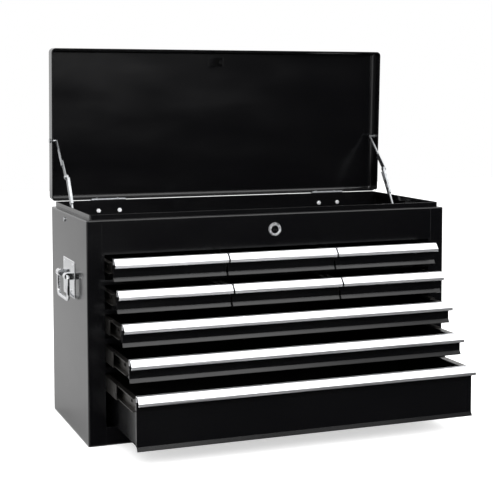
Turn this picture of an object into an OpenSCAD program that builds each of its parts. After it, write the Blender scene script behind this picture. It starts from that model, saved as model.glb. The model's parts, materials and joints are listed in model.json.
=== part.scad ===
// Machinist's tool chest: nine drawers under a lidded top tray, with lid stays and drop handles.
// Millimetres. +Z is up, -Y is the front, and the origin is under the middle of the cabinet.
// Everything is drawn at rest: the drawers pulled out by the pose values, the lid up on its stays.

/* [Cabinet] */
// Width over the side walls
body_w = 610; // [590:5:650]
// Depth from the front face to the back wall
body_d = 255; // [250:1:270]
// Thickness of the cabinet's sheet
sheet = 1; // [0.8:0.1:1.2]
// Outside radius of the cabinet's folds
bend_r = 2.5; // [2:0.25:3.5]
// Width of the front stiles
stile_w = 27.5; // [26.5:0.5:29]
// Depth of the flange behind each stile
stile_return = 9.5; // [6:0.5:10]
// How far the fascia laps over each stile
fascia_lap = 4; // [2:0.5:6]
// Width of the shoulder outside the raised lip
lip_inset = 6.6; // [6:0.2:8]
// Height of the raised lip
lip_h = 8; // [6:0.5:9]
// Radius of the raised lip's corners
lip_r = 4; // [3:0.5:6]

/* [Drawer rows] */
// Height of a shallow drawer front
shallow_h = 34.5; // [33:0.5:42]
// Height of the deep drawer front
deep_h = 80; // [70:1:100]
// Space between one front and the next
row_gap = 10.5; // [9:0.5:13]
// Height of the rail under the deep drawer
bottom_rail_h = 28; // [22:1:36]
// Space under the deep drawer front
foot_gap = 3.5; // [2:0.5:6]
// Space between the top row and the fascia
head_gap = 2.5; // [2:0.5:5]
// Height of the fascia
fascia_h = 53; // [51:1:60]
// Space beside the outer fronts
edge_gap = 5.5; // [4:0.5:6]
// Distance of each divider from the middle
split_x = 91.5; // [85:0.5:100]
// Space between two fronts in a row
split_gap = 3; // [2.6:0.2:4]
// Thickness of the dividers
divider_t = 1.5; // [1:0.1:1.8]
// Height of space above and below each row rail
rail_air = 1; // [0.8:0.1:2]

/* [Drawer trays] */
// Depth of a tray behind its front face
tray_d = 236; // [225:1:240]
// How far the tray sides stand below the front's top
tray_drop = 5; // [3:0.5:8]
// Height of the tray floor above the front's bottom edge
tray_lift = 1.5; // [1:0.5:3]
// Width of the hem along the tray's rim
tray_hem = 3; // [2:0.5:4]
// Depth of the flange behind each front's ends
front_return = 6; // [4:0.5:8]
// How far a front's bottom edge is flared forward
flare_out = 3.5; // [2:0.5:5]
// Height of the flared part
flare_h = 6; // [4:0.5:9]

/* [Pulls] */
// Wall of the extruded pull
pull_t = 1.2; // [1:0.1:1.5]
// Depth of the pull's flat top, from the front face
pull_flat = 6; // [5:0.5:8]
// Reach of the pull's nose from the front face
pull_reach = 14; // [12:0.5:16]
// How far the pull's slope falls
pull_fall = 8.7; // [7:0.1:9.5]
// Height of the pull's nose
pull_nose = 4.3; // [3.6:0.1:5]
// Depth of the clip behind the front
pull_clip = 9; // [7:0.5:11]

/* [Slides] */
// Space for a slide beside a wide tray
wide_slide = 13; // [12.5:0.5:14]
// Space for a slide beside a small tray
small_slide = 9.5; // [9:0.25:10]
// Height of a wide drawer's middle member
wide_slide_h = 23; // [21:0.5:25]
// Height of a small drawer's fixed rail
small_slide_h = 20; // [18:0.5:24]
// Sheet of the slide members
rail_t = 1; // [0.8:0.1:1.2]
// Clearance between two slide members
rail_clear = 0.4; // [0.3:0.05:0.6]
// Space between the slides and the stiles
stile_air = 0.5; // [0.4:0.1:0.8]
// Distance of a slide's middle below the front's top
slide_drop = 15; // [14.5:0.5:16]
// Length of the fixed rails
fixed_rail_l = 235; // [220:1:238]
// Length of the drawer and middle members
moving_rail_l = 226; // [215:1:228]
// Travel of a small drawer
small_travel = 155; // [150:1:165]
// Travel of a wide drawer
wide_travel = 215; // [205:1:220]

/* [Top tray and base] */
// Height of the top tray's turned-up edge
floor_flange = 8; // [6:0.5:12]
// Height of the base pan's turned-up edges
base_flange = 12; // [8:1:16]

/* [Lid] */
// Angle at which the stays hold the lid
lid_open = 87.7; // [86:0.1:89]
// Height of the lid's front and side skirts
skirt_h = 29; // [27:0.5:33]
// Clearance under the skirts of the closed lid
skirt_air = 0.5; // [0.3:0.1:1]
// Radius of the lid's folds and corners
lid_r = 7.5; // [6:0.5:9]
// How far the lid's front stands out past the cabinet
lid_over = 0.5; // [0:0.1:1.5]
// Height of the hem inside the skirts
lid_hem = 6; // [4:0.5:8]

/* [Hinges] */
// Distance of each hinge from the middle
hinge_x = 206; // [190:1:220]
// Width of a hinge
leaf_w = 60; // [50:1:70]
// Height of a hinge leaf
leaf_h = 24; // [22:1:26]
// Thickness of a hinge leaf
leaf_t = 1.2; // [1:0.1:1.4]
// Radius of the hinge barrels
barrel_r = 2.5; // [2.3:0.1:3]
// Radius of the hinge pins
pin_r = 1.25; // [1.1:0.05:1.4]
// Distance between the two screws of a hinge
screw_pitch = 37; // [30:1:44]
// Distance of the screws below the hinge pins
screw_fall = 18.5; // [16:0.5:20]
// Radius of the screws
screw_r = 2; // [1.5:0.1:2.5]

/* [Lid stays] */
// Distance of the lower pivot in front of the hinge pins
foot_ahead = 105; // [100:1:110]
// Distance of the lower pivot below the shoulder
foot_below = 12; // [10:0.5:15]
// Distance of the lid pivot in front of the hinge pins
head_ahead = 101.8; // [98:0.2:104]
// Height of the lid pivot above the hinge pins
head_above = 6.5; // [5:0.5:9]
// Length of the lower arm
lower_arm = 79; // [78:0.5:84]
// Length of the upper arm
upper_arm = 85; // [84:0.5:90]
// Diameter of the stay's rod
stay_rod = 4.2; // [3.6:0.1:4.6]
// Width of the lower arm's channel
channel_w = 10; // [8:0.5:12]
// Height of the channel's flanges
channel_h = 4; // [3:0.25:5]
// Sheet of the channel and of the upper arm's flat end
strap_t = 1.2; // [1:0.1:1.5]
// Space between the two arms
arm_air = 0.5; // [0.4:0.1:0.8]
// Length of the lower arm's rod beyond the pivot
foot_rod_l = 27; // [22:1:32]
// Length of the upper arm's flat end
flat_l = 34; // [28:1:40]
// Space between the upper arm and the lip
stay_air = 1; // [0.8:0.1:2]

/* [Handles] */
// Distance of the handles' middle in front of the cabinet's
handle_ahead = 12; // [0:1:20]
// Height of the bail pivots
handle_z = 250.5; // [235:0.5:262]
// Length of a handle plate
plate_l = 126; // [122:1:134]
// Height of a handle plate
plate_h = 59; // [55:1:64]
// Height of the bail pivots above the plate's lower edge
plate_below = 38.5; // [36:0.5:41]
// Clip of the plate's top corners
plate_clip = 17; // [12:1:20]
// Thickness of a handle plate
plate_t = 1.5; // [1:0.1:2]
// Radius of the hoods over the bail pivots
hood_r = 9.5; // [8.5:0.25:10.5]
// Distance of the bail pivots from the side wall
bail_out = 10; // [9.5:0.25:12]
// Diameter of the bail's rod
bail_rod = 8; // [6:0.5:9]
// Distance between the bail's arms
bail_l = 100; // [94:1:104]
// Drop of the grip below the pivots
bail_drop = 35; // [30:1:40]
// Radius of the bail's bends
bail_bend = 9; // [6:0.5:12]

/* [Lock] */
// Height of the lock's middle above the fascia's lower edge
lock_rise = 27.8; // [26:0.2:30]
// Diameter of the lock's ring
lock_d = 22; // [20:0.5:24]
// Diameter of the dish in the lock's ring
lock_dish_d = 15.5; // [14:0.5:17]
// Diameter of the lock's barrel
barrel_d = 18; // [17:0.25:19]
// Diameter of the lock's plug
plug_d = 12.5; // [11:0.25:13.5]
// Length of the lock's barrel behind the fascia face
barrel_l = 19; // [16:0.5:22]
// Reach of the cam
cam_reach = 30; // [28:0.5:31]
// Width of the cam
cam_w = 9; // [8:0.5:10]
// Thickness of the cam
cam_t = 2; // [1.5:0.25:2.5]
// Length of the cam's hook
cam_hook = 6.5; // [5.5:0.25:7.5]

/* [Pose] */
// How far the top row is drawn out
open_1 = 30; // [0:1:150]
// How far the second row is drawn out
open_2 = 50; // [0:1:150]
// How far the third row is drawn out
open_3 = 79.5; // [0:0.5:205]
// How far the fourth row is drawn out
open_4 = 117; // [0:1:205]
// How far the deep drawer is drawn out
open_5 = 154; // [0:1:205]

/* [Hidden] */
$fn = 40;
fit = 0.05;
air = 0.3;
eps = 0.01;
through = 20;

// the cabinet's own levels and planes
face_y = -body_d / 2;
back_y = body_d / 2;
wall_x = body_w / 2 - sheet;
open_hw = body_w / 2 - stile_w;
front_hw = open_hw - edge_gap;
fascia_hw = open_hw + fascia_lap;
fascia_z = bottom_rail_h + foot_gap + deep_h + 4 * (row_gap + shallow_h) + head_gap;
shoulder_z = fascia_z + fascia_h;
lip_z = shoulder_z + lip_h;
lip_x = body_w / 2 - lip_inset;
lip_front_y = face_y + lip_inset;
floor_z = fascia_z + 2 * sheet;

// drawer rows, counted from the top
openings = [open_1, open_2, open_3, open_4, open_5];
function row_h(row) = row == 5 ? deep_h : shallow_h;
function row_top(row) = fascia_z - head_gap - (row - 1) * (shallow_h + row_gap);
function row_bottom(row) = row_top(row) - row_h(row);

// slides, measured from what carries them towards the tray
carrier_x = open_hw - stile_air;
upright_x = carrier_x + 2 * rail_t + 1;
slide_y = face_y + stile_return + sheet + 2;
mid_y = slide_y + 3;
inner_y = front_return + 4;
wide_fixed_h = wide_slide_h + 2 * (rail_t + rail_clear);
wide_inner_h = wide_slide_h - 2 * (rail_t + rail_clear);
small_inner_h = small_slide_h - 2 * (rail_t + rail_clear);
slot_l = 12;
slot_w = 5;

// small drawers: the middle bay, and the outer bay on the right
mid_front = [-(split_x - split_gap / 2), split_x - split_gap / 2];
mid_tray = [-(split_x - divider_t / 2 - small_slide), split_x - divider_t / 2 - small_slide];
side_front = [split_x + split_gap / 2, front_hw];
side_tray = [split_x + divider_t / 2 + small_slide, upright_x - small_slide];
wide_front = [-front_hw, front_hw];
wide_tray = [-(upright_x - wide_slide), upright_x - wide_slide];

// lid, closed
hinge_y = back_y + barrel_r;
hinge_z = lip_z + skirt_air;
lid_bottom = shoulder_z + skirt_air;
lid_top = lid_bottom + skirt_h;
lid_front_y = face_y - lid_over;
lid_l = hinge_y - lid_front_y;
lid_mid_y = (hinge_y + lid_front_y) / 2;
rear_cut_y = back_y - air;

// lid stays: pivots in the closed lid and in the open one
foot_y = hinge_y - foot_ahead;
foot_z = shoulder_z - foot_below;
head_closed = [hinge_y - head_ahead, hinge_z + head_above];
function opened(p) = [
    hinge_y + (p.x - hinge_y) * cos(lid_open) + (p.y - hinge_z) * sin(lid_open),
    hinge_z - (p.x - hinge_y) * sin(lid_open) + (p.y - hinge_z) * cos(lid_open)
];
head_open = opened(head_closed);
function elbow(foot, head) =
    let (
        run = head - foot,
        span = norm(run),
        along = (lower_arm * lower_arm - upper_arm * upper_arm + span * span) / (2 * span),
        rise = sqrt(lower_arm * lower_arm - along * along)
    )
    foot + along / span * run + rise / span * [-run.y, run.x];
foot_at = [foot_y, foot_z];
elbow_at = elbow(foot_at, head_open);
lower_angle = atan2(elbow_at.y - foot_at.y, elbow_at.x - foot_at.x);
upper_angle = atan2(elbow_at.y - head_open.y, elbow_at.x - head_open.x);
upper_rod_x = lip_x - sheet - stay_air - stay_rod / 2;
upper_strap_x = upper_rod_x - stay_rod / 2;
lower_strap_x = upper_strap_x - arm_air - strap_t;
lower_rod_x = upper_strap_x - arm_air - stay_rod / 2;

// handles
handle_y = -handle_ahead;
bail_x = body_w / 2 + bail_out;
hood_y = bail_l / 2 + bail_rod / 2 + air;
hood_l = plate_l / 2 - hood_y;

// lock
lock_z = fascia_z + lock_rise;
cam_y = face_y + barrel_l + air;
catch_x = cam_w / 2 + 0.5;

black = [0.09, 0.09, 0.1];
steel = [0.7, 0.71, 0.73];
bright = [0.86, 0.87, 0.88];

// ---- shared shapes ----

// a rectangle about the origin with rounded corners
module rounded_rect(w, l, r) {
    square([w - 2 * r, l], center = true);
    square([w, l - 2 * r], center = true);
    for (x = [-1, 1], y = [-1, 1])
        translate([x * (w / 2 - r), y * (l / 2 - r)])
            circle(r = r);
}

// a slot with round ends, l long over all
module slot(l, w) {
    square([l - w, w], center = true);
    for (x = [-1, 1])
        translate([x * (l - w) / 2, 0])
            circle(d = w);
}

// the section of a folded sheet along the middle of its thickness
module fold(points, t) {
    for (i = [0 : len(points) - 2]) {
        run = points[i + 1] - points[i];
        translate(points[i])
            rotate(atan2(run.y, run.x))
                translate([0, -t / 2])
                    square([norm(run), t]);
    }
    for (p = points)
        translate(p)
            circle(d = t, $fn = 16);
}

// the same section with plain mitred bends
function side_of(run) = [-run.y, run.x] / norm(run);
function mitre(points, i) =
    let (
        last = len(points) - 1,
        a = side_of(points[max(i, 1)] - points[max(i, 1) - 1]),
        b = side_of(points[min(i, last - 1) + 1] - points[min(i, last - 1)])
    )
    (a + b) / (1 + a * b);
module mitred_fold(points, t) {
    last = len(points) - 1;
    polygon(concat(
        [for (i = [0 : last]) points[i] + t / 2 * mitre(points, i)],
        [for (i = [last : -1 : 0]) points[i] - t / 2 * mitre(points, i)]
    ));
}

// a section in Y and Z, run along X
module along_x(from, to) {
    translate([from, 0, 0])
        rotate([90, 0, 90])
            linear_extrude(to - from)
                children();
}

// a section in X and Z, run along Y
module along_y(from, to) {
    translate([0, to, 0])
        rotate([90, 0, 0])
            linear_extrude(to - from)
                children();
}

module both_sides() {
    children();
    mirror([1, 0, 0])
        children();
}

module on_left() {
    mirror([1, 0, 0])
        children();
}

// a pin along X, from one place to another
module pin_x(from, to, d) {
    translate([from, 0, 0])
        rotate([0, 90, 0])
            cylinder(d = d, h = to - from);
}

// ---- cabinet ----

// the cabinet's outside up to the shoulder, drawn in by a wall
module cabinet_block(wall) {
    r = bend_r - wall;
    h = shoulder_z - wall;
    intersection() {
        translate([0, 0, -2 * wall])
            linear_extrude(h + 2 * wall)
                rounded_rect(body_w - 2 * wall, body_d - 2 * wall, r);
        along_y(face_y, back_y)
            translate([0, h / 2 - bend_r])
                rounded_rect(body_w - 2 * wall, h + 2 * bend_r, r);
        along_x(-body_w / 2, body_w / 2)
            translate([r, h / 2 - bend_r])
                rounded_rect(body_d - 2 * wall + 2 * r, h + 2 * bend_r, r);
    }
}

module lip_outline(wall) {
    l = back_y - lip_front_y - 2 * wall;
    translate([0, (back_y + lip_front_y) / 2])
        rounded_rect(2 * (lip_x - wall), l, lip_r - wall);
}

// walls, shoulder and raised lip before the openings are cut
module cabinet_skin() {
    difference() {
        cabinet_block(0);
        cabinet_block(sheet);
        translate([0, 0, shoulder_z - 2 * sheet])
            linear_extrude(3 * sheet)
                lip_outline(sheet);
    }
    translate([0, 0, shoulder_z - sheet])
        linear_extrude(lip_h + sheet)
            difference() {
                lip_outline(0);
                lip_outline(sheet);
            }
}

module fascia_zone() {
    translate([-fascia_hw, face_y - 1, fascia_z])
        cube([2 * fascia_hw, lip_inset + lip_r + 1, shoulder_z + lip_h]);
}

module stay_foot_holes() {
    translate([0, foot_y, foot_z])
        pin_x(-body_w, body_w, stay_rod + 2 * fit);
}

module hinge_screw_places() {
    for (x = [-1, 1], s = [-1, 1])
        translate([x * hinge_x + s * screw_pitch / 2, back_y, hinge_z - screw_fall])
            rotate([-90, 0, 0])
                children();
}

// on the right-hand side wall, turned so that +Z points outwards
module handle_rivet_places() {
    for (y = [-1, 1]) {
        translate([body_w / 2, handle_y + y * (plate_l / 2 - plate_clip - 8), handle_z + 13])
            rotate([0, 90, 0])
                children();
        translate([body_w / 2, handle_y + y * (plate_l / 2 - 10), handle_z - plate_below + 9])
            rotate([0, 90, 0])
                children();
    }
}

module body_wrap() {
    color(black)
        difference() {
            union() {
                difference() {
                    cabinet_skin();
                    fascia_zone();
                    translate([-open_hw, face_y - 1, -1])
                        cube([2 * open_hw, bend_r + 2, fascia_z + 1]);
                }
                both_sides()
                    translate([open_hw, face_y + sheet / 2, base_flange])
                        cube([sheet, stile_return + sheet / 2, fascia_z - base_flange]);
            }
            stay_foot_holes();
            hinge_screw_places()
                cylinder(r = screw_r + fit, h = through, center = true);
            both_sides()
                handle_rivet_places()
                    cylinder(r = 2 + fit, h = 8, center = true);
        }
}

module front_fascia() {
    color(black)
        difference() {
            union() {
                intersection() {
                    cabinet_skin();
                    fascia_zone();
                }
                // the flange under the top tray's floor
                along_x(-fascia_hw, fascia_hw)
                    fold([[face_y + sheet / 2, fascia_z + 3], [face_y + sheet / 2, fascia_z + sheet / 2],
                          [face_y + 12, fascia_z + sheet / 2]], sheet);
            }
            translate([0, face_y, lock_z])
                rotate([90, 0, 0])
                    cylinder(d = barrel_d + 2 * fit, h = through, center = true);
        }
}

module bottom_rail() {
    color(black)
        along_x(-open_hw, open_hw)
            fold([[face_y + sheet / 2, sheet / 2], [face_y + sheet / 2, bottom_rail_h - sheet / 2],
                  [face_y + stile_return, bottom_rail_h - sheet / 2],
                  [face_y + stile_return, bottom_rail_h - 6]], sheet);
}

module base_pan() {
    color(black) {
        linear_extrude(sheet)
            rounded_rect(2 * wall_x, body_d - 2 * sheet, bend_r);
        for (y = [face_y + sheet, back_y - 2 * sheet])
            translate([-wall_x + bend_r, y, 0])
                cube([2 * (wall_x - bend_r), sheet, base_flange]);
    }
}

module tray_floor() {
    color(black)
        translate([0, 0, floor_z - sheet]) {
            linear_extrude(sheet)
                rounded_rect(2 * wall_x, body_d - 2 * sheet, bend_r);
            linear_extrude(sheet + floor_flange)
                difference() {
                    rounded_rect(2 * wall_x, body_d - 2 * sheet, bend_r);
                    rounded_rect(2 * (wall_x - sheet), body_d - 4 * sheet, bend_r - sheet);
                }
        }
}

// a channel across the front, between two rows
module row_rail(row) {
    top = row_bottom(row) - rail_air;
    low = row_top(row + 1) + rail_air;
    y0 = face_y + 1.5 * sheet;
    y1 = face_y + stile_return;
    along_x(-open_hw, open_hw)
        fold([[y1, top - sheet / 2], [y0, top - sheet / 2], [y0, low + sheet / 2], [y1, low + sheet / 2]], sheet);
}

module row_rails() {
    color(black) {
        for (row = [1 : 4])
            row_rail(row);
        // the ledge on the back wall that carries the dividers
        along_x(-open_hw, open_hw)
            fold([[back_y - sheet * 1.5, row_top(3) - 10], [back_y - sheet * 1.5, row_bottom(2) - rail_air - sheet / 2],
                  [back_y - 10, row_bottom(2) - rail_air - sheet / 2]], sheet);
    }
}

module drawer_dividers() {
    z0 = row_bottom(2) - rail_air;
    color(black)
        both_sides()
            difference() {
                translate([split_x - divider_t / 2, face_y + 2, z0])
                    cube([divider_t, body_d - sheet - 2, floor_z - sheet - z0]);
                translate([split_x - 5, face_y, row_top(2) + rail_air - air])
                    cube([10, stile_return + sheet + air, row_gap - 2 * rail_air + 2 * air]);
                translate([split_x - 5, face_y, fascia_z - air])
                    cube([10, 12 + sheet, 2 * sheet]);
            }
}

module upright(y0, y1) {
    z0 = sheet;
    translate([0, 0, z0])
        linear_extrude(floor_z - sheet - z0)
            fold([[wall_x - sheet / 2, y0], [upright_x + sheet / 2, y0], [upright_x + sheet / 2, y1],
                  [wall_x - sheet / 2, y1]], sheet);
}

module slide_uprights() {
    color(black)
        both_sides() {
            upright(slide_y + 4, slide_y + 40);
            upright(back_y - 52, back_y - 16);
        }
}

// ---- drawer slides ----

// a channel h high whose web lies from x = 0 to rail_t and whose flanges reach x = reach
module channel(h, reach, l) {
    along_y(0, l) {
        translate([0, -h / 2])
            square([rail_t, h]);
        for (z = [-h / 2, h / 2 - rail_t])
            translate([0, z])
                square([reach, rail_t]);
    }
}

module slotted_channel(h, reach, l) {
    difference() {
        channel(h, reach, l);
        for (y = [0.12, 0.5, 0.88])
            translate([0, y * l, 0])
                rotate([90, 0, 90])
                    linear_extrude(3 * rail_t, center = true)
                        slot(slot_l, slot_w);
    }
}

// slide members of the right-hand side of a tray, in the row's own frame
module fixed_rail(row, x, h, space, turn) {
    translate([x, slide_y, row_top(row) - slide_drop])
        mirror([turn, 0, 0])
            slotted_channel(h, space - rail_t - 2.5, fixed_rail_l);
}

module slide_outer_rails() {
    color(steel) {
        both_sides() {
            for (row = [3 : 5])
                fixed_rail(row, upright_x, wide_fixed_h, wide_slide, 1);
            for (row = [1, 2]) {
                fixed_rail(row, upright_x, small_slide_h, small_slide + 1.5, 1);
                fixed_rail(row, split_x + divider_t / 2, small_slide_h, small_slide + 1.5, 0);
                fixed_rail(row, split_x - divider_t / 2, small_slide_h, small_slide + 1.5, 1);
            }
        }
    }
}

module at_row(row) {
    translate([0, face_y - openings[row - 1], row_top(row)])
        children();
}

// the pair of members on a tray that reaches from tray[0] to tray[1]
module runner_pair(tray, h, reach) {
    translate([tray[1], inner_y, -slide_drop])
        slotted_channel(h, reach, moving_rail_l);
    translate([tray[0], inner_y, -slide_drop])
        mirror([1, 0, 0])
            slotted_channel(h, reach, moving_rail_l);
}

module small_runners(row, tray) {
    color(steel)
        at_row(row)
            runner_pair(tray, small_inner_h, carrier_x - side_tray[1]);
}

module wide_runners(row) {
    color(steel)
        at_row(row)
            runner_pair(wide_tray, wide_inner_h, carrier_x - rail_t - 1 - wide_tray[1]);
}

module wide_carriers(row) {
    color(steel)
        translate([0, mid_y - openings[row - 1] / 2, row_top(row) - slide_drop])
            both_sides()
                translate([carrier_x, 0, 0])
                    mirror([1, 0, 0])
                        channel(wide_slide_h, carrier_x - wide_tray[1] - rail_t - 0.8, moving_rail_l);
}

// ---- drawers ----

module drawer_tray(front, tray, h) {
    rim = -tray_drop - sheet / 2;
    bed = -h + tray_lift + sheet / 2;
    w = tray[1] - tray[0];
    // where the floor meets the flared edge
    tongue_y = sheet / 2 - flare_out * (flare_h - tray_lift - sheet / 2) / flare_h;
    color(black) {
        // floor and sides, folded from one sheet, with an inward hem and notched for the pull's clip
        difference() {
            along_y(sheet / 2, tray_d - sheet / 2)
                fold([[tray[0] + tray_hem, rim], [tray[0] + sheet / 2, rim], [tray[0] + sheet / 2, bed],
                      [tray[1] - sheet / 2, bed], [tray[1] - sheet / 2, rim], [tray[1] - tray_hem, rim]], sheet);
            translate([tray[0] - 1, 0, -pull_clip - pull_t])
                cube([w + 2, sheet + pull_t + fit, pull_clip + pull_t]);
        }
        translate([tray[0] + sheet, tongue_y, bed - sheet / 2])
            cube([w - 2 * sheet, sheet - tongue_y, sheet]);
        // back, with its own hem
        translate([tray[0] + sheet / 2, tray_d - sheet, bed])
            cube([w - sheet, sheet, rim - bed]);
        translate([tray[0] + sheet / 2, tray_d - tray_hem, rim - sheet])
            cube([w - sheet, tray_hem - sheet / 2, sheet]);
        // front with its flared lower edge
        along_x(front[0], front[1])
            mitred_fold([[sheet / 2, -pull_t], [sheet / 2, -h + flare_h], [sheet / 2 - flare_out, -h]], sheet);
        // flanges behind the front's ends
        for (x = [front[0], front[1] - sheet])
            translate([x, sheet / 2, -h + flare_h])
                cube([sheet, front_return - sheet / 2, h - flare_h - pull_clip - 2]);
    }
}

module drawer_pull(front) {
    c = pull_t / 2;
    nose_y = -pull_reach + c;
    nose_low = -pull_fall - pull_nose + c;
    color(bright)
        along_x(front[0], front[1]) {
            fold([[sheet + c, -pull_clip], [sheet + c, -c], [-pull_flat, -c], [nose_y, -pull_fall],
                  [nose_y, nose_low], [nose_y + 2.8, nose_low]], pull_t);
            fold([[-c, -c], [-c, -pull_fall]], pull_t);
        }
}

module small_tray(row, front, tray) {
    at_row(row)
        drawer_tray(front, tray, row_h(row));
}

module tray_1_left() { on_left() small_tray(1, side_front, side_tray); }
module tray_1_mid() { small_tray(1, mid_front, mid_tray); }
module tray_1_right() { small_tray(1, side_front, side_tray); }
module tray_2_left() { on_left() small_tray(2, side_front, side_tray); }
module tray_2_mid() { small_tray(2, mid_front, mid_tray); }
module tray_2_right() { small_tray(2, side_front, side_tray); }
module tray_3() { at_row(3) drawer_tray(wide_front, wide_tray, row_h(3)); }
module tray_4() { at_row(4) drawer_tray(wide_front, wide_tray, row_h(4)); }
module tray_5() { at_row(5) drawer_tray(wide_front, wide_tray, row_h(5)); }

module pull_1_left() { at_row(1) on_left() drawer_pull(side_front); }
module pull_1_mid() { at_row(1) drawer_pull(mid_front); }
module pull_1_right() { at_row(1) drawer_pull(side_front); }
module pull_2_left() { at_row(2) on_left() drawer_pull(side_front); }
module pull_2_mid() { at_row(2) drawer_pull(mid_front); }
module pull_2_right() { at_row(2) drawer_pull(side_front); }
module pull_3() { at_row(3) drawer_pull(wide_front); }
module pull_4() { at_row(4) drawer_pull(wide_front); }
module pull_5() { at_row(5) drawer_pull(wide_front); }

module runners_1_left() { on_left() small_runners(1, side_tray); }
module runners_1_mid() { small_runners(1, mid_tray); }
module runners_1_right() { small_runners(1, side_tray); }
module runners_2_left() { on_left() small_runners(2, side_tray); }
module runners_2_mid() { small_runners(2, mid_tray); }
module runners_2_right() { small_runners(2, side_tray); }
module runners_3() { wide_runners(3); }
module runners_4() { wide_runners(4); }
module runners_5() { wide_runners(5); }
module carriers_3() { wide_carriers(3); }
module carriers_4() { wide_carriers(4); }
module carriers_5() { wide_carriers(5); }

// ---- hinges ----

knuckles = 5;
knuckle_l = leaf_w / knuckles;

module hinge_knuckles(first) {
    for (k = [first : 2 : knuckles - 1])
        translate([-leaf_w / 2 + k * knuckle_l + air / 2, 0, 0])
            pin_x(0, knuckle_l - air, 2 * barrel_r);
}

module knuckle_gaps(first) {
    for (k = [first : 2 : knuckles - 1])
        translate([-leaf_w / 2 + k * knuckle_l - air / 2, -barrel_r - air, -barrel_r - air])
            cube([knuckle_l + air, 2 * barrel_r + 3 * air, 2 * barrel_r + 2 * air]);
}

module at_hinges() {
    for (x = [-1, 1])
        translate([x * hinge_x, hinge_y, hinge_z])
            children();
}

module hinge_body_leaves() {
    color(steel)
        difference() {
            at_hinges()
                difference() {
                    union() {
                        hinge_knuckles(0);
                        difference() {
                            translate([-leaf_w / 2, -barrel_r, -leaf_h])
                                cube([leaf_w, leaf_t, leaf_h]);
                            knuckle_gaps(1);
                        }
                    }
                    pin_x(-leaf_w, leaf_w, 2 * (pin_r + fit));
                }
            hinge_screw_places()
                cylinder(r = screw_r + fit, h = through, center = true);
        }
}

module hinge_pins() {
    color(steel)
        at_hinges()
            pin_x(-leaf_w / 2, leaf_w / 2, 2 * pin_r);
}

module hinge_screws() {
    color(steel)
        hinge_screw_places() {
            translate([0, 0, leaf_t])
                cylinder(r1 = 2 * screw_r, r2 = 1.2 * screw_r, h = 1.4);
            translate([0, 0, -sheet - 3])
                cylinder(r = screw_r, h = leaf_t + sheet + 3.5);
            translate([0, 0, -sheet - 2])
                cylinder(r = 1.9 * screw_r, h = 2, $fn = 6);
        }
}

// ---- lid ----

module open_lid() {
    translate([0, hinge_y, hinge_z])
        rotate([-lid_open, 0, 0])
            translate([0, -hinge_y, -hinge_z])
                children();
}

// a block with every top edge and upright corner rounded, standing on z = 0
module pan_block(w, l, h, r) {
    for (size = [[w - 2 * r, l - 2 * r, h], [w, l - 2 * r, h - r], [w - 2 * r, l, h - r]])
        translate([-size.x / 2, -size.y / 2, 0])
            cube(size);
    for (x = [-1, 1]) {
        translate([x * (w / 2 - r), 0, h - r])
            rotate([90, 0, 0])
                cylinder(r = r, h = l - 2 * r, center = true);
        translate([0, x * (l / 2 - r), h - r])
            rotate([0, 90, 0])
                cylinder(r = r, h = w - 2 * r, center = true);
        for (y = [-1, 1])
            translate([x * (w / 2 - r), y * (l / 2 - r), 0]) {
                cylinder(r = r, h = h - r);
                translate([0, 0, h - r])
                    sphere(r = r);
            }
    }
}

module lid_rivet_places() {
    for (x = [-1, 1], s = [-1, 1])
        translate([x * hinge_x + s * screw_pitch / 2, hinge_y, hinge_z + 9])
            rotate([-90, 0, 0])
                children();
}

module lid_pan() {
    color(black)
        open_lid()
            difference() {
                union() {
                    translate([0, lid_mid_y, lid_bottom])
                        difference() {
                            pan_block(body_w, lid_l, skirt_h, lid_r);
                            translate([0, 0, -sheet])
                                pan_block(body_w - 2 * sheet, lid_l - 2 * sheet, skirt_h, lid_r - sheet);
                        }
                    // the hem folded up inside the skirts
                    translate([0, lid_mid_y, lid_bottom])
                        linear_extrude(lid_hem)
                            difference() {
                                rounded_rect(body_w - sheet, lid_l - sheet, lid_r - sheet / 2);
                                rounded_rect(body_w - 4 * sheet, lid_l - 4 * sheet, lid_r - 2 * sheet);
                            }
                }
                // the rear skirt stops above the back wall and clears the hinges
                translate([-body_w, rear_cut_y, lid_bottom - 1])
                    cube([2 * body_w, 20, hinge_z - lid_bottom + 1]);
                for (x = [-1, 1])
                    translate([x * hinge_x - leaf_w / 2 - 1, rear_cut_y, hinge_z - 1])
                        cube([leaf_w + 2, 20, barrel_r + 1.6]);
                translate([0, head_closed.x, head_closed.y])
                    pin_x(-body_w, body_w, stay_rod + 2 * fit);
                lid_rivet_places()
                    cylinder(r = 1.6 + fit, h = 8, center = true);
            }
}

module hinge_lid_leaves() {
    color(steel)
        open_lid()
            difference() {
                at_hinges()
                    difference() {
                        union() {
                            hinge_knuckles(1);
                            difference() {
                                translate([-leaf_w / 2, 0, 0])
                                    cube([leaf_w, leaf_t, 18]);
                                knuckle_gaps(0);
                            }
                        }
                        pin_x(-leaf_w, leaf_w, 2 * (pin_r + fit));
                    }
                lid_rivet_places()
                    cylinder(r = 1.6 + fit, h = 8, center = true);
            }
}

module hinge_lid_rivets() {
    color(steel)
        open_lid()
            lid_rivet_places() {
                translate([0, 0, leaf_t])
                    cylinder(r1 = 3, r2 = 2, h = 1.2);
                translate([0, 0, -sheet - 1.2])
                    cylinder(r = 1.6, h = leaf_t + sheet + 1.4);
                translate([0, 0, -sheet - 1.2])
                    cylinder(r1 = 2, r2 = 3, h = 1.2);
            }
}

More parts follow.
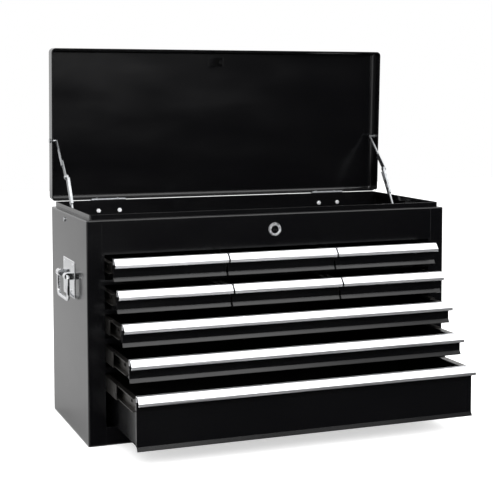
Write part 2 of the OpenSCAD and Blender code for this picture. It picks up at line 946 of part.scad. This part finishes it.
// the bracket that the lock's cam hooks into
module lid_catch() {
    foot_top = lid_top - sheet;
    tab_low = lock_z + cam_reach - 14;
    tab_y = cam_y + cam_t / 2;
    color(steel)
        open_lid()
            difference() {
                union() {
                    translate([-catch_x - 1.5, tab_y - 8, tab_low])
                        cube([1.5, 16, foot_top - tab_low]);
                    translate([-catch_x - 16, tab_y - 8, foot_top - 1.5])
                        cube([16, 16, 1.5]);
                }
                translate([-catch_x - 3, tab_y - cam_t / 2 - 1.5, tab_low + 4])
                    cube([6, cam_t + 3, 13]);
            }
}

// ---- lid stays, drawn on the right ----

module stay_lower() {
    color(steel)
        translate([0, foot_y, foot_z])
            rotate([lower_angle, 0, 0]) {
                // the rod foot, turned out through the side wall
                pin_x(lower_rod_x, body_w / 2 + air, stay_rod);
                pin_x(body_w / 2 + air, body_w / 2 + air + 1.4, 1.7 * stay_rod);
                pin_x(wall_x - air - 1.2, wall_x - air, 1.7 * stay_rod);
                translate([lower_rod_x, 0, 0]) {
                    sphere(d = stay_rod);
                    rotate([-90, 0, 0])
                        cylinder(d = stay_rod, h = foot_rod_l + 18);
                }
                // the channel with its back towards the upper arm
                translate([lower_strap_x, foot_rod_l, -channel_w / 2]) {
                    cube([strap_t, lower_arm - foot_rod_l, channel_w]);
                    for (z = [0, channel_w - strap_t])
                        translate([strap_t - channel_h, 0, z])
                            cube([channel_h, lower_arm - foot_rod_l - 4, strap_t]);
                }
                translate([0, lower_arm, 0])
                    pin_x(lower_strap_x, lower_strap_x + strap_t, channel_w);
                // rivets
                for (y = [foot_rod_l + 10, foot_rod_l + 26])
                    translate([0, y, 0])
                        pin_x(lower_strap_x - 3.2, lower_strap_x + eps, 5);
                translate([0, lower_arm, 0])
                    pin_x(lower_strap_x - 1.6, lower_strap_x + eps, 7);
            }
}

module stay_upper() {
    color(steel)
        translate([0, head_open.x, head_open.y])
            rotate([upper_angle, 0, 0]) {
                // the rod end, turned out through the lid's skirt
                pin_x(upper_rod_x, body_w / 2 + air, stay_rod);
                pin_x(body_w / 2 + air, body_w / 2 + air + 1.4, 1.7 * stay_rod);
                pin_x(wall_x - air - 1.2, wall_x - air, 1.7 * stay_rod);
                translate([upper_rod_x, 0, 0]) {
                    sphere(d = stay_rod);
                    rotate([-90, 0, 0])
                        cylinder(d = stay_rod, h = upper_arm - flat_l + 8);
                }
                // the flattened end
                translate([upper_strap_x, upper_arm - flat_l, -channel_w / 2])
                    cube([strap_t, flat_l, channel_w]);
                translate([0, upper_arm, 0]) {
                    pin_x(upper_strap_x, upper_strap_x + strap_t, channel_w);
                    pin_x(upper_strap_x + strap_t - eps, upper_strap_x + strap_t + 1.6, 7);
                }
            }
}

module stay_lower_left() { on_left() stay_lower(); }
module stay_lower_right() { stay_lower(); }
module stay_upper_left() { on_left() stay_upper(); }
module stay_upper_right() { stay_upper(); }

// ---- handles, drawn on the right ----

module hood_outline(r) {
    translate([0, 0])
        circle(r = r);
    translate([-bail_out, -r])
        square([bail_out, 2 * r]);
}

module hood() {
    // from the bail's arm outwards along +Y
    difference() {
        translate([bail_x, 0, handle_z])
            along_y(hood_y, hood_y + hood_l)
                hood_outline(hood_r);
        translate([bail_x, 0, handle_z])
            along_y(hood_y + plate_t, hood_y + hood_l - plate_t)
                hood_outline(hood_r - plate_t);
        translate([bail_x, hood_y - 1, handle_z])
            rotate([-90, 0, 0])
                cylinder(d = bail_rod + 2 * fit, h = hood_l - plate_t + 1);
    }
}

module plate_outline() {
    low = handle_z - plate_below;
    high = low + plate_h;
    e = plate_l / 2;
    difference() {
        translate([0, (low + high) / 2])
            rounded_rect(plate_l, plate_h, 4);
        for (s = [-1, 1])
            mirror([s > 0 ? 1 : 0, 0])
                polygon([[-e - 1, high + 1], [-e + plate_clip, high + 1], [-e + plate_clip, high],
                         [-e, handle_z + hood_r + 1], [-e - 1, handle_z + hood_r + 1]]);
    }
}

module handle_plates() {
    color(black)
        both_sides()
            difference() {
                translate([0, handle_y, 0]) {
                    along_x(body_w / 2, body_w / 2 + plate_t)
                        plate_outline();
                    for (turn = [0, 1])
                        mirror([0, turn, 0])
                            intersection() {
                                hood();
                                translate([body_w / 2 + plate_t - eps, 0, 0])
                                    cube([60, plate_l, 2 * handle_z]);
                            }
                }
                handle_rivet_places()
                    cylinder(r = 2 + fit, h = 8, center = true);
            }
}

module handle_rivets() {
    color(black)
        both_sides()
            handle_rivet_places() {
                translate([0, 0, plate_t])
                    cylinder(r1 = 4, r2 = 2.6, h = 1.6);
                translate([0, 0, -sheet - 1])
                    cylinder(r = 2, h = plate_t + sheet + 1.2);
                translate([0, 0, -sheet - 1])
                    cylinder(r1 = 2.6, r2 = 3.2, h = 1);
            }
}

module handle_bail() {
    arm_y = bail_l / 2;
    color(black)
        translate([bail_x, handle_y, handle_z]) {
            for (turn = [0, 1])
                mirror([0, turn, 0]) {
                    // pivot, arm and lower bend
                    translate([0, arm_y, 0]) {
                        sphere(d = bail_rod);
                        rotate([-90, 0, 0])
                            cylinder(d = bail_rod, h = bail_rod / 2 + hood_l - plate_t - 2 * air);
                        translate([0, 0, -bail_drop + bail_bend])
                            cylinder(d = bail_rod, h = bail_drop - bail_bend);
                    }
                    translate([0, arm_y - bail_bend, -bail_drop + bail_bend])
                        rotate([0, 90, 0])
                            rotate_extrude(angle = 90)
                                translate([bail_bend, 0])
                                    circle(d = bail_rod);
                }
            translate([0, 0, -bail_drop])
                rotate([90, 0, 0])
                    cylinder(d = bail_rod, h = 2 * (arm_y - bail_bend), center = true);
        }
}

module handle_bail_left() { on_left() handle_bail(); }
module handle_bail_right() { handle_bail(); }

// ---- lock ----

// turned so that +Z points out of the front
module at_lock() {
    translate([0, face_y, lock_z])
        rotate([90, 0, 0])
            children();
}

module lock_housing() {
    color(steel)
        at_lock()
            difference() {
                union() {
                    cylinder(d1 = lock_d, d2 = lock_d - 2, h = 2.4);
                    translate([0, 0, -barrel_l])
                        cylinder(d = barrel_d, h = barrel_l);
                }
                translate([0, 0, 1.2])
                    cylinder(d = lock_dish_d, h = 2);
                translate([0, 0, -barrel_l - 1])
                    cylinder(d = plug_d + 2 * fit, h = barrel_l + 4);
            }
}

module lock_nut() {
    color(steel)
        at_lock()
            translate([0, 0, -sheet - 4])
                difference() {
                    cylinder(d = barrel_d + 9, h = 4, $fn = 6);
                    translate([0, 0, -1])
                        cylinder(d = barrel_d + 2 * fit, h = 6);
                }
}

module lock_plug() {
    color(steel)
        at_lock() {
            difference() {
                translate([0, 0, -barrel_l - air - cam_t])
                    cylinder(d = plug_d, h = barrel_l + air + cam_t + 1);
                translate([0, 0, 0.6])
                    cube([8, 1.8, 8], center = true);
            }
            // the cam, lying to the right until the key turns it up
            translate([0, 0, -barrel_l - air - cam_t]) {
                translate([0, -cam_w / 2, 0])
                    cube([cam_reach, cam_w, cam_t]);
                translate([cam_reach - 7, 0, 0])
                    cube([7, cam_w / 2 + cam_hook, cam_t]);
                cylinder(d = plug_d + 3, h = cam_t);
            }
            translate([0, 0, -barrel_l - air - cam_t - 1.6])
                cylinder(d1 = 5, d2 = 7, h = 1.6);
        }
}

// ---- nodes ----

body_wrap();
base_pan();
front_fascia();
bottom_rail();
tray_floor();
row_rails();
drawer_dividers();
slide_uprights();
slide_outer_rails();
hinge_body_leaves();
hinge_pins();
hinge_screws();
lock_housing();
lock_nut();
handle_plates();
handle_rivets();
lid_pan();
hinge_lid_leaves();
hinge_lid_rivets();
lid_catch();
stay_lower_left();
stay_lower_right();
stay_upper_left();
stay_upper_right();
handle_bail_left();
handle_bail_right();
lock_plug();
tray_1_left();
tray_1_mid();
tray_1_right();
tray_2_left();
tray_2_mid();
tray_2_right();
tray_3();
tray_4();
tray_5();
pull_1_left();
pull_1_mid();
pull_1_right();
pull_2_left();
pull_2_mid();
pull_2_right();
pull_3();
pull_4();
pull_5();
runners_1_left();
runners_1_mid();
runners_1_right();
runners_2_left();
runners_2_mid();
runners_2_right();
runners_3();
runners_4();
runners_5();
carriers_3();
carriers_4();
carriers_5();
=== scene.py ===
"""Looks of the machinist's tool chest: finishes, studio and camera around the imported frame. Metres."""
import json
import math

import bmesh
import bpy
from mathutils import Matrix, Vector


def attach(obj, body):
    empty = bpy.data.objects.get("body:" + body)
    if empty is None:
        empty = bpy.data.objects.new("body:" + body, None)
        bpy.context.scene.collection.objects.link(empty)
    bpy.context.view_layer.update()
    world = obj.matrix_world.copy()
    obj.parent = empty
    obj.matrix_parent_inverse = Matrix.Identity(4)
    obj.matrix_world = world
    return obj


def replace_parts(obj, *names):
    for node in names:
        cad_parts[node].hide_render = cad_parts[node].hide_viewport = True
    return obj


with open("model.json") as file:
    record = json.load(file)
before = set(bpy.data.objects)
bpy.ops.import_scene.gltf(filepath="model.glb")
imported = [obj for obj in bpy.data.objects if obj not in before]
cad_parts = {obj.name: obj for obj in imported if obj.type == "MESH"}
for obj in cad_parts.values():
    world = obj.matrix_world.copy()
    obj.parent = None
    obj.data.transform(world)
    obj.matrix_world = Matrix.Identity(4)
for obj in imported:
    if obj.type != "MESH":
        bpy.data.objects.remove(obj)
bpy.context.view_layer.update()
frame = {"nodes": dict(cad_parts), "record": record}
nodes = frame["nodes"]


# ---- material helpers ----

def colour(code):
    """A linear RGBA value from an sRGB hex code."""
    parts = [int(code[i:i + 2], 16) / 255 for i in (1, 3, 5)]
    return [p / 12.92 if p <= 0.04045 else ((p + 0.055) / 1.055) ** 2.4 for p in parts] + [1.0]


def add(tree, kind, inputs=None, **settings):
    """A new node with its settings made and its inputs set or linked."""
    n = tree.nodes.new(kind)
    for key, value in settings.items():
        setattr(n, key, value)
    for key, value in (inputs or {}).items():
        if isinstance(value, bpy.types.NodeSocket):
            tree.links.new(value, n.inputs[key])
        else:
            n.inputs[key].default_value = value
    return n


def material(name):
    """An empty node material: the material, its tree, its shader and its object coordinates in metres."""
    mat = bpy.data.materials.new(name)
    mat.use_nodes = True
    tree = mat.node_tree
    shader = tree.nodes["Principled BSDF"]
    place = add(tree, "ShaderNodeTexCoord").outputs["Object"]
    return mat, tree, shader, place


def per_mm(size):
    """The scale of a texture whose features are size millimetres across, on metre coordinates."""
    return 1000 / size


def noise(tree, place, size, detail=2.0, stretch=(1, 1, 1)):
    """Noise with features size millimetres across, stretched along the axes by shares of that scale."""
    if stretch != (1, 1, 1):
        place = add(tree, "ShaderNodeMapping", {"Vector": place, "Scale": stretch}).outputs["Vector"]
    return add(tree, "ShaderNodeTexNoise",
               {"Vector": place, "Scale": per_mm(size), "Detail": detail}).outputs["Fac"]


def spread(tree, value, low, high, start=0.3, end=0.7):
    """value remapped from start..end to low..high."""
    return add(tree, "ShaderNodeMapRange", {"Value": value, "From Min": start, "From Max": end,
                                            "To Min": low, "To Max": high}).outputs["Result"]


# ---- finishes ----

def enamel(name, code, rough, edge_mm=0.7):
    """Baked gloss enamel sprayed on folded sheet: flow ripple about 14 mm across, orange peel of
    1.6 mm, a faint haze from wiping, and folded edges rounded by the sheet's bend."""
    mat, tree, shader, place = material(name)
    shader.inputs["Base Color"].default_value = colour(code)
    haze = noise(tree, place, 90, 4, (0.6, 0.6, 1.6))
    tree.links.new(spread(tree, haze, rough * 0.85, rough * 1.25), shader.inputs["Roughness"])
    shader.inputs["IOR"].default_value = 1.5
    edge = add(tree, "ShaderNodeBevel", {"Radius": edge_mm / 1000}, samples=4)
    flow = add(tree, "ShaderNodeBump", {"Strength": 0.5, "Distance": 0.00002, "Normal": edge.outputs["Normal"],
                                        "Height": noise(tree, place, 14, 1)})
    peel = add(tree, "ShaderNodeBump", {"Strength": 0.5, "Distance": 0.000004, "Normal": flow.outputs["Normal"],
                                        "Height": noise(tree, place, 1.6, 1)})
    tree.links.new(peel.outputs["Normal"], shader.inputs["Normal"])
    return mat


def extruded(name, code, rough):
    """Bright anodised aluminium, drawn through a die along X: long fine die lines.

    Real die lines are about 0.1 mm apart, too fine to show, so they are drawn 0.5 mm apart.
    """
    mat, tree, shader, place = material(name)
    shader.inputs["Base Color"].default_value = colour(code)
    shader.inputs["Metallic"].default_value = 1.0
    lines = noise(tree, place, 0.5, 3, (0.004, 1, 1))
    tree.links.new(spread(tree, lines, rough * 0.7, rough * 1.5), shader.inputs["Roughness"])
    bump = add(tree, "ShaderNodeBump", {"Strength": 0.6, "Distance": 0.000006, "Height": lines})
    tree.links.new(bump.outputs["Normal"], shader.inputs["Normal"])
    return mat


def plated(name, code, dark, rough):
    """Clear zinc plate on rolled or cut steel: cloudy spangle, with rolling lines underneath."""
    mat, tree, shader, place = material(name)
    cloud = noise(tree, place, 7, 5)
    mix = add(tree, "ShaderNodeMix", {"Factor": spread(tree, cloud, 0, 1), "A": colour(dark),
                                      "B": colour(code)}, data_type="RGBA")
    tree.links.new(mix.outputs[2], shader.inputs["Base Color"])
    shader.inputs["Metallic"].default_value = 1.0
    tree.links.new(spread(tree, cloud, rough * 1.3, rough * 0.75), shader.inputs["Roughness"])
    bump = add(tree, "ShaderNodeBump", {"Strength": 0.5, "Distance": 0.00001,
                                        "Height": noise(tree, place, 0.6, 2, (1, 0.05, 1))})
    tree.links.new(bump.outputs["Normal"], shader.inputs["Normal"])
    return mat


def chrome(name, code, rough):
    """Polished chrome plate with the faint scratches of handling."""
    mat, tree, shader, place = material(name)
    shader.inputs["Base Color"].default_value = colour(code)
    shader.inputs["Metallic"].default_value = 1.0
    scratch = noise(tree, place, 0.8, 6, (1, 0.15, 0.4))
    tree.links.new(spread(tree, scratch, rough, rough * 3, 0.4, 0.8), shader.inputs["Roughness"])
    wave = noise(tree, place, 9, 1)
    bump = add(tree, "ShaderNodeBump", {"Strength": 0.3, "Distance": 0.000004, "Height": wave})
    tree.links.new(bump.outputs["Normal"], shader.inputs["Normal"])
    return mat


# What each gives the eye: the enamels are nearly black faces with soft highlights along the folds; the
# pulls are white bands; the slides' zinc is darkened to a dark grey, painted shade for the gaps they sit in;
# stays and hinges are light grey; the lock is a bright ring. The handles' slot is named for enamel, but
# the photograph shows chrome, so they have chrome.
finishes = {
    "cabinet_enamel": enamel("cabinet enamel", "#050506", 0.16),
    "drawer_enamel": enamel("drawer enamel", "#050506", 0.18),
    "pull_aluminium": extruded("pull aluminium", "#EDEEF0", 0.36),
    # painted shade: the slides' zinc gets a dark grey that stands for the shade in the gaps, not zinc's own
    # colour
    "slide_zinc": plated("slide zinc with painted shade", "#6A6866", "#4E4C4A", 0.34),
    "stay_zinc": plated("stay zinc", "#B9BBBD", "#9A9C9E", 0.34),
    "hinge_steel": plated("hinge zinc", "#9C9EA1", "#7C7E81", 0.34),
    "lock_chrome": chrome("lock chrome", "#D9DADC", 0.26),
    "handle_enamel": chrome("handle chrome", "#DCDDDF", 0.1),
}
slots = {part["node"]: part["material_slot"] for part in frame["record"]["subparts"]}
for name, obj in nodes.items():
    obj.data.materials.clear()
    obj.data.materials.append(finishes[slots[name]])

# Three nodes differ from the rest of their slots: an enamelled catch that hardly shows in the lid, bright
# new screws in the hinge leaves, and a polished plug that mirrors the dark room in front of it.
nodes["lid_catch"].data.materials[0] = finishes["cabinet_enamel"]
nodes["hinge_screws"].data.materials[0] = plated("screw zinc", "#F4F5F6", "#E4E5E7", 0.42)
nodes["lock_plug"].data.materials[0] = chrome("plug chrome", "#C9CACC", 0.06)


# ---- handles, as the photograph shows them: chromed and smaller than the solids, on the same pivots ----

WALL_X = 0.305          # outer face of the side wall
HANDLE_Y = -0.005       # middle of a handle
PLATE_LOW, PLATE_HIGH = 0.2155, 0.2745
PLATE_HALF = 0.040      # half the plate's length
PLATE_CORNER = 0.003
PLATE_THICK = 0.0012
PLATE_ROLL = [(0, 0), (0, 0.5), (0.0003, 0.85), (0.0008, 1)]  # edge drawn in, share of the thickness
PIVOT_X, PIVOT_Z = 0.315, 0.2505
ROD_R = 0.00275
ARM = 0.036             # from the bail's middle to the middle of an arm
DROP = 0.0365           # from the pivots down to the grip's middle
GRIP_BEND, ARM_BEND = 0.0095, 0.004
END_REACH = 0.0145      # how far a rod's end runs in under its hood
HOOD_IN, HOOD_OUT = 0.019, 0.03295
HOOD_R = 0.0055
HOOD_LIP, HOOD_EDGE = 0.0012, 0.0006
HEAD_R, HEAD_H = 0.0036, 0.0014
HEAD_DOME = [(1, 0), (1, 0.25), (0.9, 0.6), (0.65, 0.87), (0.3, 0.99)]  # shares of radius and height
RIVETS = [(-0.029, 0.268), (0.029, 0.268), (-0.017, 0.226), (0.017, 0.226)]
SHANKS = [(-0.050, 0.2635), (0.026, 0.2635), (-0.065, 0.221), (0.041, 0.221)]
SHANK_R = 0.0024
SHANK_INNER, SHANK_OUTER = -0.0009, 0.00004  # from the wall's outer face
DISC_SIDES, ROD_SIDES = 24, 20


def cos_of(degrees):
    return math.cos(math.radians(degrees))


def sin_of(degrees):
    return math.sin(math.radians(degrees))


def mesh_piece(kind, bm, side, slot, body, smooth=True):
    """A piece drawn for the right-hand side, mirrored to the left where side is -1, on its body."""
    bmesh.ops.recalc_face_normals(bm, faces=bm.faces)
    for v in bm.verts:
        v.co.x *= side
    if side < 0:
        bmesh.ops.reverse_faces(bm, faces=bm.faces)
    name = kind + ("_right" if side > 0 else "_left")
    mesh = bpy.data.meshes.new(name)
    bm.to_mesh(mesh)
    bm.free()
    obj = bpy.data.objects.new(name, mesh)
    bpy.context.scene.collection.objects.link(obj)
    mesh.materials.append(finishes[slot])
    if smooth:
        for polygon in mesh.polygons:
            polygon.use_smooth = True
        mesh.set_sharp_from_angle(angle=math.radians(35))
    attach(obj, body)
    return obj


def prism(bm, rings):
    """Faces between equal rings of points, closed at both ends."""
    loops = [[bm.verts.new(p) for p in ring] for ring in rings]
    for a, b in zip(loops, loops[1:]):
        for i in range(len(a)):
            j = (i + 1) % len(a)
            bm.faces.new((a[i], a[j], b[j], b[i]))
    bm.faces.new(reversed(loops[0]))
    bm.faces.new(loops[-1])


def plate_ring(inset, x):
    """The plate's rounded outline at x, drawn in by inset."""
    half, low, high, r = PLATE_HALF - inset, PLATE_LOW + inset, PLATE_HIGH - inset, PLATE_CORNER
    corners = [(half - r, high - r, 0), (-half + r, high - r, 90),
               (-half + r, low + r, 180), (half - r, low + r, 270)]
    return [(x, HANDLE_Y + (y + r * cos_of(start + step)), z + r * sin_of(start + step))
            for y, z, start in corners for step in range(0, 91, 15)]


def hood_ring(y, shrink):
    """A hood's outline at y: half round over the pivot and straight down to the plate."""
    r, foot_x = HOOD_R - shrink, WALL_X + PLATE_THICK / 2
    outline = [(foot_x, PIVOT_Z - HOOD_R + shrink)]
    outline += [(PIVOT_X + r * cos_of(a), PIVOT_Z + r * sin_of(a)) for a in range(-90, 91, 15)]
    outline += [(foot_x, PIVOT_Z + HOOD_R - shrink)]
    return [(x, HANDLE_Y + y, z) for x, z in outline]


def disc_ring(x, y, z, radius):
    turns = [2 * math.pi * i / DISC_SIDES for i in range(DISC_SIDES)]
    return [(x, y + radius * math.cos(a), z + radius * math.sin(a)) for a in turns]


def handle_plate(side):
    """Pressed plate with rolled-over edges and two hoods over the bail's ends."""
    bm = bmesh.new()
    prism(bm, [plate_ring(inset, WALL_X + PLATE_THICK * share) for inset, share in PLATE_ROLL])
    for end in (-1, 1):
        prism(bm, [hood_ring(end * HOOD_IN, HOOD_LIP), hood_ring(end * (HOOD_IN + HOOD_LIP), 0),
                   hood_ring(end * (HOOD_OUT - HOOD_EDGE), 0), hood_ring(end * HOOD_OUT, HOOD_EDGE)])
    return mesh_piece("handle_plate", bm, side, "handle_enamel", "cabinet")


def handle_rivet_heads(side):
    """Low domed rivet heads on the plate."""
    bm = bmesh.new()
    for y, z in RIVETS:
        prism(bm, [disc_ring(WALL_X + PLATE_THICK + HEAD_H * lift, HANDLE_Y + y, z, HEAD_R * share)
                   for share, lift in HEAD_DOME])
    return mesh_piece("handle_rivet_heads", bm, side, "handle_enamel", "cabinet")


def handle_shanks(side):
    """The wall's rivet holes for the solids' larger plate, closed flush and enamelled over."""
    bm = bmesh.new()
    for y, z in SHANKS:
        prism(bm, [disc_ring(WALL_X + x, y, z, SHANK_R) for x in (SHANK_INNER, SHANK_OUTER)])
    return mesh_piece("handle_shanks", bm, side, "cabinet_enamel", "cabinet", smooth=False)


def bail(side, body):
    """Round rod bent at both lower corners, its ends turned inwards under the hoods."""
    path = [(-ARM + END_REACH, 0.0), (-ARM + ARM_BEND, 0.0)]
    path += [(-ARM + ARM_BEND - ARM_BEND * sin_of(a), -ARM_BEND + ARM_BEND * cos_of(a))
             for a in range(15, 91, 15)]
    path += [(-ARM + GRIP_BEND - GRIP_BEND * cos_of(a), -DROP + GRIP_BEND - GRIP_BEND * sin_of(a))
             for a in range(0, 91, 10)]
    path += [(-y, z) for y, z in reversed(path)]
    rings = []
    for i, (y, z) in enumerate(path):
        y0, z0 = path[max(i - 1, 0)]
        y1, z1 = path[min(i + 1, len(path) - 1)]
        length = math.hypot(y1 - y0, z1 - z0)
        along_y, along_z = (y1 - y0) / length, (z1 - z0) / length
        ring = []
        for a in (2 * math.pi * k / ROD_SIDES for k in range(ROD_SIDES)):
            out, across = ROD_R * math.cos(a), ROD_R * math.sin(a)
            ring.append((PIVOT_X + out, HANDLE_Y + y - along_z * across, PIVOT_Z + z + along_y * across))
        rings.append(ring)
    bm = bmesh.new()
    prism(bm, rings)
    return mesh_piece("bail", bm, side, "handle_enamel", body)


for side, body in ((1, "bail_right"), (-1, "bail_left")):
    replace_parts(handle_plate(side), "handle_plates")
    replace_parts(handle_rivet_heads(side), "handle_rivets")
    handle_shanks(side)
    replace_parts(bail(side, body), "handle_" + body)


# ---- studio ----

def glossy_only(obj):
    """obj shows in reflections and nowhere else."""
    obj.visible_camera = False
    obj.visible_diffuse = False
    obj.visible_shadow = False
    obj.visible_transmission = False


def board(name, centre, size, rotation, mat):
    """A flat rectangular board of this size."""
    bpy.ops.mesh.primitive_plane_add(size=1, location=centre, rotation=rotation)
    obj = bpy.context.object
    obj.name = name
    obj.scale = (size[0], size[1], 1)
    obj.data.materials.append(mat)
    return obj


def paper(name, code, glow):
    """Seamless studio paper: matt, with a faint tooth, lit a little from behind so that it stays white."""
    mat, tree, shader, place = material(name)
    shader.inputs["Base Color"].default_value = colour(code)
    shader.inputs["Roughness"].default_value = 0.9
    shader.inputs["Specular IOR Level"].default_value = 0.1
    shader.inputs["Emission Color"].default_value = (1, 1, 1, 1)
    shader.inputs["Emission Strength"].default_value = glow
    tooth = noise(tree, place, 1.2, 3)
    bump = add(tree, "ShaderNodeBump", {"Strength": 0.3, "Distance": 0.00005, "Height": tooth})
    tree.links.new(bump.outputs["Normal"], shader.inputs["Normal"])
    return mat


def flag_cloth(name):
    """Black duvetyn, which gives nothing back."""
    mat, tree, shader, place = material(name)
    shader.inputs["Base Color"].default_value = colour("#020202")
    shader.inputs["Roughness"].default_value = 1.0
    shader.inputs["Specular IOR Level"].default_value = 0.0
    return mat


UPRIGHT = (math.radians(90), 0, 0)
LYING = (0, 0, 0)
floor = board("floor", (0, 2.0, 0), (14, 5.4), LYING, paper("floor paper", "#E8E8E8", 0.58))

# Seen only in reflections: the black flags keep the fronts black, and the grey card, lying beside and
# behind the chest, gives the side wall its middle grey.
black = flag_cloth("flag cloth")
flag_low = board("flag_low", (0.5, -0.87, 0.001), (5, 1.48), LYING, black)
flag_high = board("flag_high", (0.9, -1.6, 0.2), (4.4, 2.4), UPRIGHT, black)
card_side = board("card_side", (-1.678, 2.15, 0.001), (2.744, 5.2), LYING, paper("grey card", "#D5D5D5", 0.0))
for card in (flag_low, flag_high, card_side):
    glossy_only(card)


def softbox(name, place, target, size, radiance):
    """A rectangular softbox: its power is radiance x pi x area."""
    data = bpy.data.lights.new(name, "AREA")
    data.shape = "RECTANGLE"
    data.size, data.size_y = size
    data.energy = radiance * math.pi * size[0] * size[1]
    obj = bpy.data.objects.new(name, data)
    obj.location = place
    obj.rotation_euler = (Vector(target) - Vector(place)).to_track_quat("-Z", "Y").to_euler()
    obj.visible_camera = False
    bpy.context.scene.collection.objects.link(obj)
    return obj


softbox("key softbox", (0.7, -0.9, 2.3), (0, 0, 0.3), (2.0, 2.0), 1.6)
softbox("front softbox", (-0.25, -1.7, 1.0), (0, -0.13, 0.3), (1.9, 0.7), 10)

world = bpy.data.worlds.new("studio")
world.use_nodes = True
bpy.context.scene.world = world
sky = world.node_tree.nodes["Background"]
sky.inputs["Color"].default_value = (1, 1, 1, 1)
sky.inputs["Strength"].default_value = 1.0

# ---- camera, as fitted to the photograph ----

PHOTO_LONG_SIDE_PX = 500
FOCAL_PX = 1253.9
SHIFT_X_PX, SHIFT_Y_PX = -29.85, -68.04
PITCH_DOWN, TURN = 0.07354, -0.3799  # radians
cam_data = bpy.data.cameras.new("camera")
cam_data.sensor_width = 36
cam_data.lens = 36 * FOCAL_PX / PHOTO_LONG_SIDE_PX
cam_data.shift_x = SHIFT_X_PX / PHOTO_LONG_SIDE_PX
cam_data.shift_y = SHIFT_Y_PX / PHOTO_LONG_SIDE_PX
camera = bpy.data.objects.new("camera", cam_data)
camera.location = (-0.73535, -1.9758, 0.54404)
camera.rotation_euler = (math.radians(90) - PITCH_DOWN, 0, TURN)
bpy.context.scene.collection.objects.link(camera)
scene = bpy.context.scene
scene.camera = camera
scene.view_settings.view_transform = "Standard"
